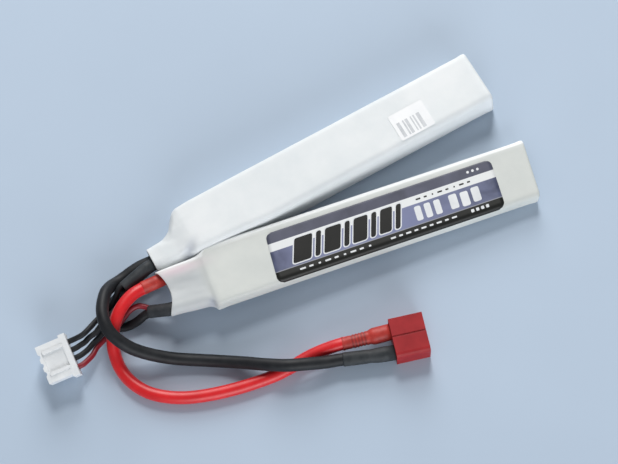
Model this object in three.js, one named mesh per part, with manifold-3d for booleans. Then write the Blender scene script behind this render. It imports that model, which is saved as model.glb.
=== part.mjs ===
// Two-stick lithium polymer battery pack: a double-cell stick and a single-cell stick in white
// heat-shrink sleeves, joined by their leads, with a power plug and a balance plug.
// Millimetres, +Z up. The origin is under the middle of the double stick, on the surface it rests on,
// and +X runs along that stick towards its far end.
import * as THREE from 'three';
import { mergeVertices } from 'three/addons/utils/BufferGeometryUtils.js';
import Module from 'manifold-3d';

const wasm = await Module();
wasm.setup();

// ---------------------------------------------------------------- driving dimensions
const WALL = 0.4; // shrunk sleeve wall
const GAP = 0.3; // clearance between neighbouring pieces
const CELL_THICK = 4.5;
const CELL_LENGTH = 88.8;
const PAD_THICK = 0.4; // foam tape between the stacked cells
const SEAL_THICK = 0.5; // heat-sealed edge of a pouch, where the tabs come out
const SEAL_LENGTH = 3.8;
const TAB = { length: 2.7, width: 3.6, thick: 0.3, offset: 2.7 };

const SINGLE_HEIGHT = 2 * (WALL + GAP) + CELL_THICK;
const DOUBLE_HEIGHT = 2 * (WALL + GAP + CELL_THICK) + 2 * GAP + PAD_THICK;
const DOUBLE = { end: 49.1, halfWidth: 8.2, height: DOUBLE_HEIGHT, rake: -0.11, corner: 1.7 };
const SINGLE = { end: 47.9, halfWidth: 9.0, height: SINGLE_HEIGHT, skew: 0.096, corner: 1.6 };

// The single stick lies turned away from the double one, its lead end lifted by the crossed leads.
const SPREAD_DEG = -9.55;
const TILT_DEG = 2.4;
const SINGLE_CENTRE_Y = -22.6;

const LEAD_D = 3.6; // 14 AWG silicone lead
const LINK_D = 2.6; // 18 AWG silicone lead
const WIRE_D = 1.6; // 24 AWG silicone balance wire
const BUNDLE_D = 3.8; // heat-shrink over the joined leads of the double stick
const SHORT_BUNDLE_D = 3.7; // the same on the single stick

const PLUG = { length: 9.6, width: 11.3, height: 7.3, x: -8.1, y: -56.6, yawDeg: -16.8 };
const XH = { length: 8.9, width: 12.3, height: 5.75, pitch: 2.5, pins: 4, ear: 1.9 };
const XH_TURN = { yawDeg: -6.2, dipDeg: 2, rollDeg: 12 };
const XH_REAR = new THREE.Vector3(-91.7, -14.7, 6.3); // middle of the face the wires enter

const radians = THREE.MathUtils.degToRad;

// ---------------------------------------------------------------- colours and finishes
const finishes = {
  sleeve: { color: 0xe6eaeb, roughness: 0.38 },
  pouch: { color: 0xb9bdc2, roughness: 0.35, metalness: 0.8 },
  foam: { color: 0xf0efe8, roughness: 0.9 },
  tab: { color: 0xc9c7c0, roughness: 0.35, metalness: 1 },
  card: { color: 0xd8c79a, roughness: 0.8 },
  solder: { color: 0xb8b8bc, roughness: 0.3, metalness: 1 },
  label: { color: 0x3d4560, roughness: 0.3 },
  sticker: { color: 0xf2f2f2, roughness: 0.5 },
  blackLead: { color: 0x2a2b2d, roughness: 0.5 },
  redLead: { color: 0xc8323a, roughness: 0.45 },
  redWire: { color: 0x86202c, roughness: 0.45 },
  blackShrink: { color: 0x26282a, roughness: 0.55 },
  redShrink: { color: 0xb53a34, roughness: 0.5 },
  plugRed: { color: 0xa63a40, roughness: 0.55 },
  gold: { color: 0xd9b25a, roughness: 0.25, metalness: 1 },
  plugWhite: { color: 0xf0efea, roughness: 0.4 },
};

function piece(name, geometry, finish) {
  const material = new THREE.MeshStandardMaterial({ metalness: 0, ...finishes[finish] });
  const mesh = new THREE.Mesh(geometry, material);
  mesh.name = name;
  return mesh;
}

// ---------------------------------------------------------------- shape helpers
const CORNER_STEPS = 5;

/** One cross-section ring of a stick: a rounded rectangle in Y and Z at station x.
 * skew slants the ring along X across the width, rake slants it with height, and bow moves its
 * outer sides along X. */
function ring({ x, near, far, low, high, corner, skew = 0, rake = 0, bow = 0 }, inset = 0) {
  const midY = (near + far) / 2;
  const midZ = (low + high) / 2;
  const halfY = (far - near) / 2 - inset;
  const halfZ = (high - low) / 2 - inset;
  const radius = Math.max(0.15, Math.min(corner - inset, halfY - 0.05, halfZ - 0.05));
  const points = [];
  for (let quarter = 0; quarter < 4; quarter += 1) {
    const signY = quarter === 0 || quarter === 3 ? 1 : -1;
    const signZ = quarter < 2 ? 1 : -1;
    for (let step = 0; step <= CORNER_STEPS; step += 1) {
      const angle = ((quarter + step / CORNER_STEPS) * Math.PI) / 2;
      const y = midY + signY * (halfY - radius) + radius * Math.cos(angle);
      const z = midZ + signZ * (halfZ - radius) + radius * Math.sin(angle);
      const across = (y - midY) / halfY;
      points.push([x + skew * (y - midY) + rake * z + bow * across * across, y, z]);
    }
  }
  return points;
}

/** A closed body through a list of equal rings; closed at both ends, or joined end to end as a shell. */
function skin(rings, asShell) {
  const count = rings[0].length;
  const positions = rings.flat(2);
  const index = [];
  const at = (row, column) => (row % rings.length) * count + (column % count);
  const rows = asShell ? rings.length : rings.length - 1;
  for (let row = 0; row < rows; row += 1) {
    for (let column = 0; column < count; column += 1) {
      const [a, b] = [at(row, column), at(row, column + 1)];
      const [c, d] = [at(row + 1, column + 1), at(row + 1, column)];
      index.push(a, b, c, a, c, d);
    }
  }
  if (!asShell) {
    const lastRow = rings.length - 1;
    for (let column = 1; column < count - 1; column += 1) {
      index.push(at(0, 0), at(0, column + 1), at(0, column));
      index.push(at(lastRow, 0), at(lastRow, column), at(lastRow, column + 1));
    }
  }
  const geometry = new THREE.BufferGeometry();
  geometry.setAttribute('position', new THREE.Float32BufferAttribute(positions, 3));
  geometry.setIndex(index);
  return facingOut(geometry);
}

/** Turns every triangle over if the body's volume comes out negative. */
function facingOut(geometry) {
  const position = geometry.getAttribute('position');
  const corners = [new THREE.Vector3(), new THREE.Vector3(), new THREE.Vector3()];
  const order = geometry.getIndex().array;
  let volume = 0;
  for (let i = 0; i < order.length; i += 3) {
    corners.forEach((corner, k) => corner.fromBufferAttribute(position, order[i + k]));
    volume += corners[0].dot(corners[1].clone().cross(corners[2]));
  }
  if (volume < 0) {
    for (let i = 0; i < order.length; i += 3) {
      [order[i + 1], order[i + 2]] = [order[i + 2], order[i + 1]];
    }
  }
  return geometry;
}

function solidThrough(stations) {
  return skin(stations.map((station) => ring(station)), false);
}

/** A sleeve: the outer skin through the stations and the same skin set in by the wall. */
function sleeveThrough(stations) {
  const outer = stations.map((station) => ring(station));
  const inner = stations.map((station) => ring(station, WALL)).reverse();
  return skin([...outer, ...inner], true);
}

/** A round cord along a list of points. */
function cord(points, diameter, steps) {
  const path = new THREE.CatmullRomCurve3(points.map((p) => new THREE.Vector3(...p)));
  const section = new THREE.Shape();
  const sides = 8;
  for (let side = 0; side < sides; side += 1) {
    const angle = (side / sides) * 2 * Math.PI;
    const [u, v] = [(Math.cos(angle) * diameter) / 2, (Math.sin(angle) * diameter) / 2];
    if (side === 0) section.moveTo(u, v);
    else section.lineTo(u, v);
  }
  section.closePath();
  return new THREE.ExtrudeGeometry(section, { steps, extrudePath: path, bevelEnabled: false });
}

/** A turned piece along the straight line from start to end; the profile is [distance, radius] pairs. */
function turned(name, start, end, profile, finish) {
  const from = new THREE.Vector3(...start);
  const along = new THREE.Vector3(...end).sub(from).normalize();
  const last = profile[profile.length - 1][0];
  const outline = [[0, 0], ...profile, [last, 0]].map(([y, r]) => new THREE.Vector2(r, y));
  const mesh = piece(name, new THREE.LatheGeometry(outline, 16), finish);
  mesh.position.copy(from);
  mesh.quaternion.setFromUnitVectors(new THREE.Vector3(0, 1, 0), along);
  return mesh;
}

function box(sizeX, sizeY, sizeZ, x, y, z) {
  return new THREE.BoxGeometry(sizeX, sizeY, sizeZ).translate(x, y, z);
}

function toSolid(geometry) {
  const bare = geometry.clone();
  bare.deleteAttribute('normal');
  bare.deleteAttribute('uv');
  const merged = mergeVertices(bare, 1e-4);
  return new wasm.Manifold(
    new wasm.Mesh({
      numProp: 3,
      vertProperties: Float32Array.from(merged.getAttribute('position').array),
      triVerts: Uint32Array.from(merged.getIndex().array),
    }),
  );
}

/** The body left when every cutter is taken away from the blank. */
function cutAway(blank, cutters) {
  const solid = cutters.reduce((rest, cutter) => rest.subtract(toSolid(cutter)), toSolid(blank));
  const { vertProperties, triVerts } = solid.getMesh();
  const geometry = new THREE.BufferGeometry();
  geometry.setAttribute('position', new THREE.Float32BufferAttribute(vertProperties, 3));
  geometry.setIndex(Array.from(triVerts));
  return geometry;
}

/** A rounded plate in X and Y, with its underside at z. */
function plate(sizeX, sizeY, thick, corner, x, y, z) {
  const [a, b] = [sizeX / 2, sizeY / 2];
  const outline = new THREE.Shape();
  outline.absarc(a - corner, b - corner, corner, 0, Math.PI / 2);
  outline.absarc(corner - a, b - corner, corner, Math.PI / 2, Math.PI);
  outline.absarc(corner - a, corner - b, corner, Math.PI, 1.5 * Math.PI);
  outline.absarc(a - corner, corner - b, corner, 1.5 * Math.PI, 2 * Math.PI);
  const settings = { depth: thick, bevelEnabled: false, curveSegments: 4 };
  return new THREE.ExtrudeGeometry(outline, settings).translate(x, y, z);
}

// ---------------------------------------------------------------- cells and what is on them
/** A pouch cell whose body runs from bodyEnd towards -X and narrows to its sealed edge. */
function pouchCell(bodyEnd, halfWidth, low) {
  const high = low + CELL_THICK;
  const middle = (low + high) / 2;
  const shoulder = bodyEnd - CELL_LENGTH;
  const side = { near: -halfWidth, far: halfWidth };
  const seal = { low: middle - SEAL_THICK / 2, high: middle + SEAL_THICK / 2, corner: 0.2 };
  return solidThrough([
    { x: bodyEnd, ...side, low: low + 0.5, high: high - 0.5, corner: 1.2 },
    { x: bodyEnd - 0.6, ...side, low, high, corner: 1.4 },
    { x: shoulder + 0.8, ...side, low, high, corner: 1.4 },
    { x: shoulder, near: 0.5 - halfWidth, far: halfWidth - 0.5, ...seal },
    { x: shoulder - SEAL_LENGTH, near: 0.5 - halfWidth, far: halfWidth - 0.5, ...seal },
  ]);
}

function tabs(prefix, sealEnd, middleZ) {
  return [['positive', 1], ['negative', -1]].map(([pole, side]) => {
    const x = sealEnd - GAP - TAB.length / 2;
    const strip = box(TAB.length, TAB.width, TAB.thick, x, side * TAB.offset, middleZ);
    return piece(`${prefix}_${pole}_tab`, strip, 'tab');
  });
}

// ---------------------------------------------------------------- double stick
const doubleStick = new THREE.Group();
const cellEnd = DOUBLE.end - 3.8;
const lowCellZ = WALL + GAP;
const padZ = lowCellZ + CELL_THICK + GAP;
const highCellZ = padZ + PAD_THICK + GAP;
const sealEnd = cellEnd - CELL_LENGTH - SEAL_LENGTH;
const lowMiddle = lowCellZ + CELL_THICK / 2;
const highMiddle = highCellZ + CELL_THICK / 2;
const doubleCell = { half: 7.0, shift: 0.4 }; // the cells sit a little towards the far side

// The body is a straight box section, its near side pressed in where the single stick leans on it.
// The lead end draws in towards the near side to a thick round neck.
const doubleBody = {
  near: -DOUBLE.halfWidth,
  far: DOUBLE.halfWidth,
  low: 0,
  high: DOUBLE.height,
  corner: DOUBLE.corner,
};
const doubleStations = [
  { x: DOUBLE.end, ...doubleBody, rake: DOUBLE.rake },
  { x: DOUBLE.end - 2, ...doubleBody, rake: DOUBLE.rake },
  { x: -24.0, ...doubleBody },
  { x: -43.1, ...doubleBody, near: -7.4 },
  { x: -47.0, ...doubleBody, near: -7.2, low: 0.1, high: 11.3, corner: 2.3 },
  { x: -48.7, near: -6.9, far: 7.7, low: 0.3, high: 11.0, corner: 2.9 },
  { x: -50.4, near: -6.3, far: 5.9, low: 0.7, high: 10.4, corner: 3.4 },
  { x: -52.3, near: -5.5, far: 3.6, low: 1.2, high: 9.8, corner: 3.5 },
  { x: -55.2, near: -4.8, far: 2.3, low: 1.2, high: 9.3, corner: 3.0 },
  { x: -60.1, near: -4.5, far: 2.0, low: 1.2, high: 9.1, corner: 2.9 },
];
doubleStick.add(piece('rear_sleeve', sleeveThrough(doubleStations), 'sleeve'));
[['rear_cell_lower', lowCellZ], ['rear_cell_upper', highCellZ]].forEach(([name, low]) => {
  const pouch = pouchCell(cellEnd, doubleCell.half, low).translate(0, doubleCell.shift, 0);
  doubleStick.add(piece(name, pouch, 'pouch'));
});

const padX = cellEnd - CELL_LENGTH / 2;
const padWidth = 2 * doubleCell.half - 2;
const padMiddle = padZ + PAD_THICK / 2;
const foamPad = box(CELL_LENGTH - 8, padWidth, PAD_THICK, padX, doubleCell.shift, padMiddle);
doubleStick.add(piece('rear_foam_pad', foamPad, 'foam'));

const spacerHeight = highMiddle - lowMiddle - SEAL_THICK - 2 * GAP;
const spacerX = sealEnd + SEAL_LENGTH / 2 - 0.2;
const spacer = box(SEAL_LENGTH - 1, 10, spacerHeight, spacerX, 0, (lowMiddle + highMiddle) / 2);
doubleStick.add(piece('rear_seal_spacer', spacer, 'card'));
doubleStick.add(...tabs('rear_lower', sealEnd, lowMiddle));
doubleStick.add(...tabs('rear_upper', sealEnd, highMiddle));

const bridgeHeight = highMiddle - lowMiddle - TAB.thick - 2 * GAP;
const bridgeX = sealEnd - GAP - TAB.length / 2;
const bridge = box(2.2, 0.4, bridgeHeight, bridgeX, 0, (lowMiddle + highMiddle) / 2);
doubleStick.add(piece('rear_series_bridge', bridge, 'tab'));

const negativeTail = [[-52.1, -0.2, 4.2], [-55.2, 0.0, 3.6], [-59.5, -0.1, 3.4]];
const seriesTail = [[-52.1, -2.7, 6.9], [-55.2, -2.6, 6.5], [-59.5, -2.5, 6.3]];
doubleStick.add(piece('rear_negative_lead_tail', cord(negativeTail, 2.2, 4), 'solder'));
doubleStick.add(piece('rear_series_lead_tail', cord(seriesTail, 2.2, 4), 'solder'));

const CODE = { x: 23.9, y: -2.9, length: 11, width: 8.6 };
const stickerZ = DOUBLE.height + 0.1;
const sticker = plate(CODE.length, CODE.width, 0.15, 0.6, CODE.x, CODE.y, stickerZ);
doubleStick.add(piece('rear_code_sticker', sticker, 'sticker'));

// ---------------------------------------------------------------- single stick
const singleCell = { end: SINGLE.end - 2.6, half: SINGLE.halfWidth - WALL - GAP - 0.6 };
const singleBody = {
  near: -SINGLE.halfWidth,
  far: SINGLE.halfWidth,
  low: 0,
  high: SINGLE.height,
  corner: SINGLE.corner,
};
// Its far side is pressed slanting against the double stick, and its neck stays wide and flat.
const singleStations = [
  { x: SINGLE.end, ...singleBody, skew: SINGLE.skew },
  { x: SINGLE.end - 2, ...singleBody, skew: SINGLE.skew },
  { x: -28.9, ...singleBody },
  { x: -37.8, ...singleBody, far: 8.3 },
  { x: -46.7, ...singleBody, far: 7.2 },
  { x: -48.7, near: -8.8, far: 6.9, low: 0.1, high: 5.9, corner: 2.0 },
  { x: -50.6, near: -8.0, far: 6.8, low: 0.4, high: 5.6, corner: 2.2 },
  { x: -54.6, near: -7.7, far: 6.6, low: 0.6, high: 5.4, corner: 2.2 },
  { x: -60.9, near: -7.2, far: 6.3, low: 0.7, high: 5.4, corner: 2.2, bow: -2.2, skew: -0.08 },
];
const singleSealEnd = singleCell.end - CELL_LENGTH - SEAL_LENGTH;
const singleMiddle = lowCellZ + CELL_THICK / 2;
const singleLevel = new THREE.Group(); // the stick's own frame: along X, flat on its underside
singleLevel.add(piece('front_sleeve', sleeveThrough(singleStations), 'sleeve'));

const singlePouch = pouchCell(singleCell.end, 6.3, lowCellZ).translate(0, -1.2, 0);
singleLevel.add(piece('front_cell', singlePouch, 'pouch'));
const sideFoam = box(66, 1.3, 3.6, 9, 6.6, singleMiddle);
singleLevel.add(piece('front_side_foam', sideFoam, 'foam'));
const singleTabs = tabs('front', singleSealEnd, singleMiddle);
singleTabs.forEach((tab) => tab.position.set(0, -1.2, 0));
singleLevel.add(...singleTabs);
const singleSpacer = box(2.6, 10, 0.8, singleSealEnd + 1.8, -1.2, singleMiddle + 1.1);
singleLevel.add(piece('front_seal_spacer', singleSpacer, 'card'));

const positiveTail = [[-53.1, 2.3, 3.0], [-56.7, 2.7, 3.0], [-60.9, 2.9, 3.0]];
const singleSeriesTail = [[-53.1, -4.6, 2.9], [-56.7, -4.6, 2.9], [-60.9, -4.6, 2.9]];
singleLevel.add(piece('front_positive_lead_tail', cord(positiveTail, 2.2, 4), 'solder'));
singleLevel.add(piece('front_series_lead_tail', cord(singleSeriesTail, 2.2, 4), 'solder'));

const LABEL = { x: 2.9, y: -1.2, length: 68.2, width: 14.6, corner: 1.8 };
const labelZ = SINGLE.height + 0.1;
const label = plate(LABEL.length, LABEL.width, 0.15, LABEL.corner, LABEL.x, LABEL.y, labelZ);
singleLevel.add(piece('front_label', label, 'label'));

singleLevel.rotation.y = radians(TILT_DEG);
singleLevel.position.z = (SINGLE.end + SINGLE.skew * SINGLE.halfWidth) * Math.sin(radians(TILT_DEG));
const singlePlaced = new THREE.Group();
singlePlaced.add(singleLevel);
singlePlaced.rotation.z = radians(SPREAD_DEG);
singlePlaced.position.y = SINGLE_CENTRE_Y;

// ---------------------------------------------------------------- leads and wires, in the part's frame
const blackRoute = [
  [-63.6, -0.2, 3.4], [-66.4, -0.4, 3.4], [-69.0, -0.8, 3.4], [-71.5, -1.3, 3.9], [-73.6, -2.0, 5.4],
  [-75.7, -3.7, 7.8], [-77.5, -6.2, 9.4], [-79.0, -9.0, 10.5], [-79.9, -12.1, 10.9],
  [-80.0, -15.2, 10.4], [-79.0, -18.3, 9.2], [-76.9, -21.5, 7.1], [-73.1, -25.0, 4.7],
  [-68.1, -28.6, 2.8], [-62.2, -32.3, 2.0], [-56.5, -36.0, 2.0], [-51.2, -39.9, 3.2],
  [-46.4, -43.8, 5.0], [-41.6, -47.2, 6.2], [-36.5, -49.5, 5.7], [-31.9, -51.2, 4.4],
  [-27.5, -52.6, 3.7],
];
const redRoute = [
  [-66.6, -7.7, 7.2], [-69.1, -8.0, 7.7], [-71.8, -8.9, 7.9], [-74.7, -10.5, 7.9], [-77.3, -12.6, 7.3],
  [-79.4, -15.0, 6.2], [-81.0, -17.6, 4.7], [-81.9, -20.6, 3.2], [-82.2, -23.7, 2.2],
  [-81.7, -27.3, 2.0], [-80.3, -30.9, 2.0], [-78.0, -34.3, 2.0], [-74.3, -37.6, 2.0],
  [-70.1, -40.2, 2.0], [-65.5, -42.2, 2.0], [-60.4, -43.9, 2.0], [-55.1, -45.3, 2.0],
  [-50.0, -46.3, 2.0], [-45.0, -47.0, 2.0], [-40.0, -47.1, 2.0], [-35.2, -47.0, 2.3],
  [-30.8, -47.5, 3.0], [-26.2, -48.5, 3.7],
];
const linkRoute = [
  [-71.6, -5.0, 3.4], [-74.6, -5.0, 2.3], [-77.5, -6.2, 1.7], [-79.1, -9.0, 1.6], [-78.0, -12.0, 1.6],
  [-75.1, -13.6, 1.8], [-72.0, -14.0, 2.6], [-69.0, -13.8, 3.7],
];
const wireRoutes = [
  [
    [-71.5, -4.1, 7.1], [-73.3, -5.3, 6.5], [-75.6, -6.6, 5.3], [-78.5, -7.7, 4.7],
    [-81.6, -8.8, 5.2], [-83.8, -10.2, 6.8], [-85.6, -11.1, 7.5], [-87.1, -11.5, 7.6],
    [-88.6, -11.4, 7.3], [-90.1, -11.1, 6.7],
  ],
  [
    [-71.4, -5.8, 5.7], [-73.3, -7.4, 5.1], [-75.8, -8.8, 5.4], [-78.3, -9.8, 5.8],
    [-81.3, -11.1, 6.0], [-83.6, -12.1, 5.7], [-85.8, -12.5, 5.8], [-87.4, -13.1, 5.8],
    [-88.9, -13.3, 6.0], [-90.4, -13.5, 6.2],
  ],
  [
    [-71.6, -7.6, 3.8], [-74.6, -9.4, 3.3], [-77.9, -10.8, 3.9], [-81.1, -12.3, 4.3],
    [-83.3, -13.2, 4.1], [-85.6, -14.1, 4.3], [-87.4, -15.0, 4.7], [-89.0, -15.6, 5.3],
    [-90.6, -15.9, 5.7],
  ],
  [
    [-69.2, -10.9, 5.2], [-71.8, -10.7, 4.8], [-74.9, -11.6, 4.4], [-77.7, -13.1, 3.9],
    [-80.6, -13.6, 3.0], [-83.0, -14.3, 2.6], [-85.2, -15.2, 2.9], [-87.1, -16.7, 3.5],
    [-89.0, -17.7, 4.4], [-90.9, -18.4, 5.2],
  ],
];

const leads = new THREE.Group();
leads.add(piece('main_lead_black', cord(blackRoute, LEAD_D, 32), 'blackLead'));
leads.add(piece('main_lead_red', cord(redRoute, LEAD_D, 30), 'redLead'));
leads.add(piece('link_lead', cord(linkRoute, LINK_D, 14), 'blackLead'));
wireRoutes.forEach((route, i) => {
  const finish = i === 3 ? 'redWire' : 'blackLead';
  leads.add(piece(`balance_wire_${i + 1}`, cord(route, WIRE_D, 14), finish));
});

const bundleRadius = BUNDLE_D / 2;
const bundleProfile = [[0, bundleRadius - 0.2], [0.6, bundleRadius], [7, bundleRadius], [7.2, bundleRadius - 0.15]];
const bundleEnds = [[-63.6, -2.9, 6.3], [-70.8, -4.6, 6.2]];
leads.add(turned('rear_bundle_sleeve', ...bundleEnds, bundleProfile, 'blackShrink'));

// ---------------------------------------------------------------- power plug
const plug = new THREE.Group();
const slotDepth = 7.2;
const slotX = PLUG.length / 2 - slotDepth / 2 + 0.5;
const housing = cutAway(box(PLUG.length, PLUG.width, PLUG.height, 0, 0, 0), [
  box(slotDepth + 1, 1.3, 5.2, slotX, -2.6, 0), // upright slot
  box(slotDepth + 1, 4.6, 1.3, slotX, 2.5, 0), // flat slot
  box(PLUG.length + 2, 0.5, 0.5, 0, 0.4, PLUG.height / 2), // parting groove
]);
plug.add(piece('power_plug_housing', housing, 'plugRed'));
const contactX = PLUG.length / 2 - slotDepth / 2 - 0.4;
plug.add(piece('power_contact_upright', box(slotDepth - 1, 0.6, 4.4, contactX, -2.6, 0), 'gold'));
plug.add(piece('power_contact_flat', box(slotDepth - 1, 3.8, 0.6, contactX, 2.5, 0), 'gold'));
plug.position.set(PLUG.x, PLUG.y, PLUG.height / 2);
plug.rotation.z = radians(PLUG.yawDeg);

const plugSleeve = [[0, 1.85], [0.4, 1.95], [7.2, 1.95], [8.6, 2.15], [12.6, 2.15]];
leads.add(turned('plug_sleeve_red', [-25.5, -48.6, 3.7], [-12.2, -52.2, 3.7], plugSleeve, 'redShrink'));
const nearSleeve = [[0, 1.85], [0.4, 1.95], [7.4, 1.95], [8.6, 2.05], [12.4, 2.05]];
leads.add(turned('plug_sleeve_black', [-26.8, -52.9, 3.7], [-14.1, -58.1, 3.7], nearSleeve, 'blackShrink'));

const collar = [[0, 1.7], [0.3, 1.95], [2.6, 1.95], [2.8, 1.8]];
leads.add(turned('front_lead_collar', [-63.3, -7.6, 6.9], [-66.3, -7.7, 7.2], collar, 'redShrink'));
const shortRadius = SHORT_BUNDLE_D / 2;
const shortProfile = [[0, shortRadius - 0.2], [0.5, shortRadius], [5.2, shortRadius], [5.4, shortRadius - 0.2]];
const shortEnds = [[-63.2, -15.8, 5.8], [-68.6, -13.7, 4.2]];
leads.add(turned('front_bundle_sleeve', ...shortEnds, shortProfile, 'blackShrink'));

// ---------------------------------------------------------------- balance plug
// In its own frame the mating face looks along -X and the wires enter at x = 0.
const balance = new THREE.Group();
const pinY = (i) => ((XH.pins - 1) / 2 - i) * XH.pitch;
const cavities = [];
for (let i = 0; i < XH.pins; i += 1) {
  cavities.push(box(XH.length + 2, 1.8, 2.4, -XH.length / 2, pinY(i), -0.4));
}
// The mating edge is scalloped between the pins, and two ears stand out beside the wires.
const scallops = [-1, 0, 1].map((step) => {
  const notch = new THREE.CylinderGeometry(0.75, 0.75, XH.height + 2, 12);
  return notch.rotateX(Math.PI / 2).translate(-XH.length - 0.25, step * XH.pitch, 0);
});
const bodyLength = XH.length - XH.ear;
const balanceHousing = cutAway(box(XH.length, XH.width, XH.height, -XH.length / 2, 0, 0), [
  ...cavities,
  ...scallops,
  box(XH.length - 2.8, 7.0, 0.9, -XH.length / 2 - 0.3, 0, XH.height / 2), // top recess
  ...[-1, 1].map((side) => (
    box(bodyLength + 1, 1.4, 8, -XH.ear - (bodyLength + 1) / 2, side * XH.width * 0.5, 0)
  )),
]);
balance.add(piece('balance_plug_housing', balanceHousing, 'plugWhite'));
for (let i = 0; i < XH.pins; i += 1) {
  const crimp = box(6.4, 1.1, 1.5, -4.6, pinY(i), -0.4);
  balance.add(piece(`balance_contact_${i + 1}`, crimp, 'tab'));
}
balance.position.copy(XH_REAR);
const { yawDeg, dipDeg, rollDeg } = XH_TURN;
balance.rotation.set(radians(rollDeg), -radians(dipDeg), radians(yawDeg), 'ZYX');

const pack = new THREE.Group();
pack.add(doubleStick, singlePlaced, leads, plug, balance);
pack.updateMatrixWorld(true);

export default pack;
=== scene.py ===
"""The looks of a two-stick lithium polymer pack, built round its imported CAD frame.

Numbers are millimetres in the row frame unless a name says otherwise. +X runs along the double
stick from its lead end to its plain end, and the single stick lies on its -Y side.
"""

import math

import bmesh
import bpy
from mathutils import Matrix, Vector, noise


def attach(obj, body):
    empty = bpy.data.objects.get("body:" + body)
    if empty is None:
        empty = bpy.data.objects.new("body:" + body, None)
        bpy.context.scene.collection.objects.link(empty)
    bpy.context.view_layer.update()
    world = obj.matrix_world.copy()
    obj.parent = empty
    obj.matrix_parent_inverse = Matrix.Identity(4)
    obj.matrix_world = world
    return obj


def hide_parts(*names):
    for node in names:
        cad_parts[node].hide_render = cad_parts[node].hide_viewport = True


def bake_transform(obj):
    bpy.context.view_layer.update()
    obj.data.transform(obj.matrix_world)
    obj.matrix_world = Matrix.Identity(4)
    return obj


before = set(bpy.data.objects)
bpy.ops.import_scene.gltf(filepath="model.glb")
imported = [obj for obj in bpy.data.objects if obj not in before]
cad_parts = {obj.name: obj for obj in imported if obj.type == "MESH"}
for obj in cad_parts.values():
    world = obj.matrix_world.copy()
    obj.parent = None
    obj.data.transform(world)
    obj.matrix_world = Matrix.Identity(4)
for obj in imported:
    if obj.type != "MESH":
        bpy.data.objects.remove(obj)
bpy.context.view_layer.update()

MM = 0.001
scene = bpy.context.scene

# ------------------------------------------------------------------ camera
CAMERA_ELEVATION = math.radians(70)
CAMERA_AZIMUTH = math.radians(-111.587)
CAMERA_ROLL = math.radians(-8)
CAMERA_TARGET = Vector((-16.51, -13.99, 0.0)) * MM
CAMERA_DISTANCE = 0.4725
LENS = 95.68

camera_data = bpy.data.cameras.new("camera")
camera_data.lens = LENS
camera_data.sensor_width = 36.0
camera_data.clip_start = 0.01
camera_data.clip_end = 20.0
camera = bpy.data.objects.new("camera", camera_data)
camera.matrix_world = (
    Matrix.Translation(CAMERA_TARGET)
    @ Matrix.Rotation(CAMERA_AZIMUTH + math.pi / 2, 4, "Z")
    @ Matrix.Rotation(math.pi / 2 - CAMERA_ELEVATION, 4, "X")
    @ Matrix.Rotation(CAMERA_ROLL, 4, "Z")
    @ Matrix.Translation((0, 0, CAMERA_DISTANCE))
)
scene.collection.objects.link(camera)
scene.camera = camera

# ------------------------------------------------------------------ dimensions, as in the frame
LEAD_D = 3.6
LINK_D = 2.6
WIRE_D = 1.6
WALL = 0.36
DOUBLE_HEIGHT = 11.4
SINGLE_HEIGHT = 5.9
SPREAD = math.radians(-9.55)
TILT = math.radians(2.4)
SINGLE_LIFT = (47.9 + 0.096 * 9.0) * math.sin(TILT)

SINGLE_FRAME = (
    Matrix.Translation(Vector((0, -22.6, 0)) * MM)
    @ Matrix.Rotation(SPREAD, 4, "Z")
    @ Matrix.Translation(Vector((0, 0, SINGLE_LIFT)) * MM)
    @ Matrix.Rotation(TILT, 4, "Y")
)

# ------------------------------------------------------------------ materials


def graph(name):
    """A new material, its nodes, a linking helper and its shader."""
    material = bpy.data.materials.new(name)
    material.use_nodes = True
    tree = material.node_tree
    shader = tree.nodes["Principled BSDF"]

    def add(kind, **values):
        node = tree.nodes.new(kind)
        for key, value in values.items():
            if key in node.inputs:
                node.inputs[key].default_value = value
            else:
                setattr(node, key, value)
        return node

    return material, add, tree.links.new, shader


def ramp_of(add, low, high, dark, light):
    ramp = add("ShaderNodeValToRGB")
    ramp.color_ramp.elements[0].position = low
    ramp.color_ramp.elements[0].color = (*dark, 1)
    ramp.color_ramp.elements[1].position = high
    ramp.color_ramp.elements[1].color = (*light, 1)
    return ramp


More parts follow.
